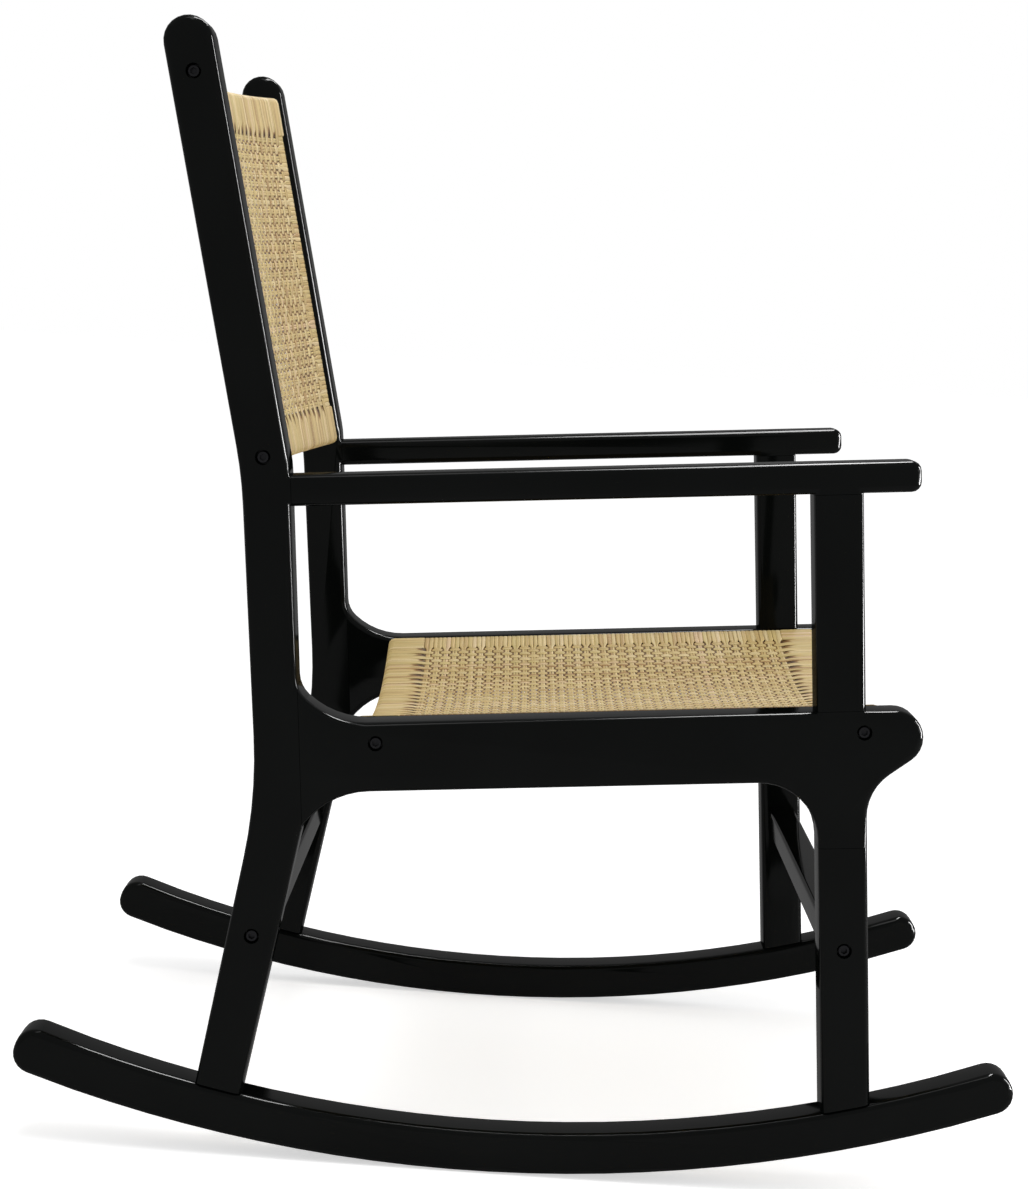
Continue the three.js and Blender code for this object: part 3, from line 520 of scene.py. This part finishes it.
class Panel:
    """What a panel's sizes come to: its bars, the level of its sheet, and where its strands lie and cross."""

    def __init__(self, sizes):
        self.sizes = sizes
        self.random = np.random.RandomState(sizes["seed"])
        self.shade_pattern = ShadePattern(self.random)
        top = sizes["rail_depth"] / 2 + sizes["face_pad"]
        bottom = -sizes["rail_depth"] / 2
        half = sizes["pitch"] / 2
        self.rails = [
            Bar(end, half, sizes["rail_width"], top, bottom, RAIL_EDGE, pad)
            for end, pad in zip((-1, 1), sizes["edge_pads"])
        ]
        stile_middle = STILE_OUTER - STILE_WIDTH / 2
        stile_top = top - sizes["stile_drop"]
        self.stiles = [
            Bar(end, stile_middle, STILE_WIDTH, stile_top, bottom + STILE_LIFT, STILE_EDGE) for end in (-1, 1)
        ]
        self.sheet = top - SHEET_DROP
        open_half = half - sizes["rail_width"] / 2 - WRAP_GAP - STRAND_THICKNESS
        self.warp_pitch = 2 * sizes["field_half"] / sizes["warp_pairs"]
        self.weft_pitch = 2 * open_half / sizes["weft_pairs"]
        self.first_warp = -sizes["field_half"] + self.warp_pitch / 2
        self.first_weft = -open_half + self.weft_pitch / 2


def ease(share):
    """0 to 1, with a soft start and end."""
    share = np.clip(share, 0, 1)
    return share * share * (3 - 2 * share)


def swing(first, count, pitch, stops, reach):
    """Places along a strand from -reach to reach, and its swing (1 to -1) at each: it turns over at each crossing."""
    places, swings = [], []
    for number in range(count):
        turn = 1 - 2 * (number % 2)
        last = number == count - 1
        for share, value in stops[:1] if last else stops:
            places.append(first + (number + share) * pitch)
            swings.append(turn * value)
    steps = math.ceil((reach + first) / RUN_STEP)
    before = np.linspace(-reach, first, steps, endpoint=False)
    after = -before[::-1]
    return np.concatenate([before, places, after]), np.concatenate([np.ones(steps), swings, np.full(steps, turn)])


def drift(random, places, size):
    """A slow, small wandering along a strand."""
    total = np.zeros_like(places)
    for length in DRIFT_LENGTHS:
        total += random.uniform(-0.5, 0.5) * np.sin(2 * math.pi * (places / length + random.uniform(0, 1)))
    return total * size


def warp_depth(panel, field, side, reach):
    """How deep a warp looks for its painted shade, 0 to 1: by its swing (side) in the field, growing from reach to
    its first crossing.
    """
    depth = (1 - side) / 2
    first = panel.first_weft
    outside = np.clip((reach - np.abs(field)) / (reach + first - FULL_DEPTH_SHARE * panel.weft_pitch), 0, 1)
    return np.where(np.abs(field) > -first, depth * outside, depth)


def warps(panel, start, phase):
    """Every other pair from start on, side by side from rail to rail; phase 1 begins over a weft, -1 under it."""
    strands = Strands(axis=1, first_number=WARP_NUMBERS * phase)
    pitch, crest, random = panel.warp_pitch, panel.rails[1].crest, panel.random
    for number in range(start, panel.sizes["warp_pairs"], 2):
        reach = crest + PARTING + random.uniform(*PARTING_SPREAD)
        field, cycle = swing(panel.first_weft, panel.sizes["weft_pairs"], panel.weft_pitch, WARP_STOPS, reach)
        side = phase * cycle
        settle = ease((crest - np.abs(field)) / (crest + panel.first_weft))
        part_early = ease((reach - np.abs(field)) / (reach - crest))
        rail_level = panel.rails[0].level + PART_RISE * side * part_early
        level = rail_level + settle * (panel.sheet + WARP_SWING * side - rail_level)
        light = np.where(np.abs(field) > -panel.first_weft, SPIKE_LIGHT, MIDDLE_LIGHT)
        for member in (-1, 1):
            place = panel.first_warp + number * pitch + member * pitch / 4
            # Painted shade: how deep the strand's outer and inner side and its underside look
            shade_strength = panel.sizes["hollow_shading"] * panel.shade_pattern.at(place, field)
            outer = shade_strength * (warp_depth(panel, field, side, reach) - LEVEL_DEPTH)
            below = shade_strength * (warp_depth(panel, field, -side, reach) - LEVEL_DEPTH)
            inner = outer - light
            hollows = np.stack([outer, inner, below] if member == -1 else [inner, outer, below], axis=1)
            offset = settle * (drift(random, field, WARP_DRIFT) - member * WARP_CLOSING)
            widths = pitch / 2 * random.uniform(*WARP_FILL) * (1 - WARP_NARROWING * settle)
            strands.cross(panel.rails, place, field, offset, level, widths, hollows, RAIL_SHADE)
    return strands


def wefts(panel, start, phase):
    """Every other pair from start on, from stile to stile; phase 1 begins over a warp, -1 under it.

    They swing alike all along, and close up over the stiles."""
    strands = Strands(axis=0, first_number=WEFT_NUMBERS * phase)
    pitch, stile_level, random = panel.weft_pitch, panel.stiles[0].level, panel.random
    reach = panel.sizes["field_half"] + WEFT_RUNOUT
    field, cycle = swing(panel.first_warp, panel.sizes["warp_pairs"], panel.warp_pitch, WEFT_STOPS, reach)
    side = phase * cycle
    settle = ease((reach - np.abs(field)) / (reach + panel.first_warp))
    level = stile_level + settle * (panel.sheet + WEFT_SWING * side - stile_level)
    # Painted shade: a weft looks darker where it dips under the warps, level beyond the field
    deep = np.where(np.abs(field) > -panel.first_warp, 0, WEFT_HOLLOW_SHADING * ((1 - side) / 2 - LEVEL_DEPTH))
    hollows = np.stack([deep, deep, deep * 0], axis=1)
    for number in range(start, panel.sizes["weft_pairs"], 2):
        for member in (-1, 1):
            place = panel.first_weft + number * pitch + member * pitch / 4
            offset = settle * (drift(random, field, WEFT_DRIFT) - member * (1 / 4 - WEFT_PAIR_SHARE) * pitch)
            widths = pitch / 2 * random.uniform(*WEFT_FILL) * (1 - WEFT_NARROWING * settle)
            strands.cross(panel.stiles, place, field, offset, level, widths, hollows, STILE_SHADE)
    return strands


def wraps(panel):
    """Beyond the field, strands only go round the rails."""
    strands = Strands(axis=1, first_number=WRAP_NUMBERS)
    field_half = panel.sizes["field_half"]
    spare = CANE_HALF - field_half
    count = round(spare / (panel.warp_pitch / 2))
    for side in (-1, 1):
        for number in range(count):
            place = side * (field_half + (number + 1 / 2) * spare / count)
            for bar in panel.rails:
                strands.wrap(bar, place, spare / count * panel.random.uniform(*WRAP_FILL))
    return strands


def weave_panel(name, sizes):
    """The strands that stand for one panel's cane, in five pieces."""
    panel = Panel(sizes)
    sets = {
        "warps_a": warps(panel, 0, 1),
        "warps_b": warps(panel, 1, -1),
        "wefts_a": wefts(panel, 0, -1),
        "wefts_b": wefts(panel, 1, 1),
        "wraps": wraps(panel),
    }
    for part, strands in sets.items():
        piece = strands.build(f"{name}_{part}", sizes)
        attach(piece, "root")
        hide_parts(f"{name}_cane")


for panel_name, panel_sizes in PANELS.items():
    weave_panel(panel_name, panel_sizes)


# Studio


def background_rays(nodes, links, low, high):
    """high where a ray looks for the background: from the camera, in a reflection or through glass; else low."""
    rays = nodes.new("ShaderNodeLightPath")
    seen = rays.outputs["Is Camera Ray"]
    for kind in ("Is Glossy Ray", "Is Transmission Ray"):
        either = nodes.new("ShaderNodeMath")
        either.operation = "MAXIMUM"
        links.new(seen, either.inputs[0])
        links.new(rays.outputs[kind], either.inputs[1])
        seen = either.outputs["Value"]
    return spread(nodes, links, seen, low, high)


def make_floor():
    mesh = bpy.data.meshes.new("floor")
    corners = [(FLOOR_HALF * x, FLOOR_HALF * y, 0) for x, y in ((-1, -1), (1, -1), (1, 1), (-1, 1))]
    mesh.from_pydata(corners, [], [(0, 1, 2, 3)])
    floor = bpy.data.objects.new("floor", mesh)
    bpy.context.scene.collection.objects.link(floor)
    floor.location.z = -FLOOR_DROP
    material, nodes, links, shader = new_material("pale_floor")
    shader.inputs["Base Color"].default_value = (0.85, 0.85, 0.85, 1)
    shader.inputs["Roughness"].default_value = 0.9
    shader.inputs["Specular IOR Level"].default_value = 0.1
    shader.inputs["Emission Color"].default_value = (1, 1, 1, 1)
    links.new(background_rays(nodes, links, 0, FLOOR_LIFT), shader.inputs["Emission Strength"])
    mesh.materials.append(material)


def make_world():
    world = bpy.data.worlds.new("studio")
    bpy.context.scene.world = world
    world.use_nodes = True
    nodes, links = world.node_tree.nodes, world.node_tree.links
    background = nodes["Background"]
    background.inputs["Color"].default_value = (1, 1, 1, 1)
    links.new(background_rays(nodes, links, ROOM_LIGHT, 1), background.inputs["Strength"])


def add_lamp(name, place, aim, size, power, lights_surfaces=True):
    """An area lamp. One that doesn't light surfaces only shows in their gloss, as the windows of a studio do."""
    light = bpy.data.lights.new(name, "AREA")
    light.shape = "RECTANGLE"
    light.size, light.size_y = size
    light.energy = power
    lamp = bpy.data.objects.new(name, light)
    lamp.location = place
    lamp.rotation_euler = (Vector(aim) - Vector(place)).to_track_quat("-Z", "Y").to_euler()
    lamp.visible_diffuse = lights_surfaces
    lamp.visible_camera = False
    bpy.context.scene.collection.objects.link(lamp)


def make_camera():
    """The camera of the picture, turned with the chair from PHOTO_TILT to REST_TILT."""
    camera = bpy.data.cameras.new("camera")
    camera.sensor_fit = "VERTICAL"
    camera.sensor_height = SENSOR
    camera.lens = SENSOR * CAMERA_FOCUS_PX / PHOTO_HEIGHT_PX
    holder = bpy.data.objects.new("camera", camera)
    bpy.context.scene.collection.objects.link(holder)
    ahead = Vector((
        math.cos(CAMERA_YAW) * math.cos(CAMERA_PITCH),
        math.sin(CAMERA_YAW) * math.cos(CAMERA_PITCH),
        -math.sin(CAMERA_PITCH),
    ))
    level = Matrix.Translation(CAMERA_PLACE) @ ahead.to_track_quat("-Z", "Y").to_matrix().to_4x4()
    turn = (
        Matrix.Translation(REST_MIDDLE)
        @ Matrix.Rotation(PHOTO_TILT - REST_TILT, 4, "X")
        @ Matrix.Translation(-PHOTO_MIDDLE)
    )
    holder.matrix_world = turn @ level
    bpy.context.scene.camera = holder


make_floor()
make_world()
make_camera()
for lamp_name, lamp in LAMPS.items():
    add_lamp(lamp_name, **lamp)
for lamp_name, lamp in GLOSS_LAMPS.items():
    add_lamp(lamp_name, **lamp, lights_surfaces=False)
bpy.context.scene.view_settings.view_transform = "Standard"
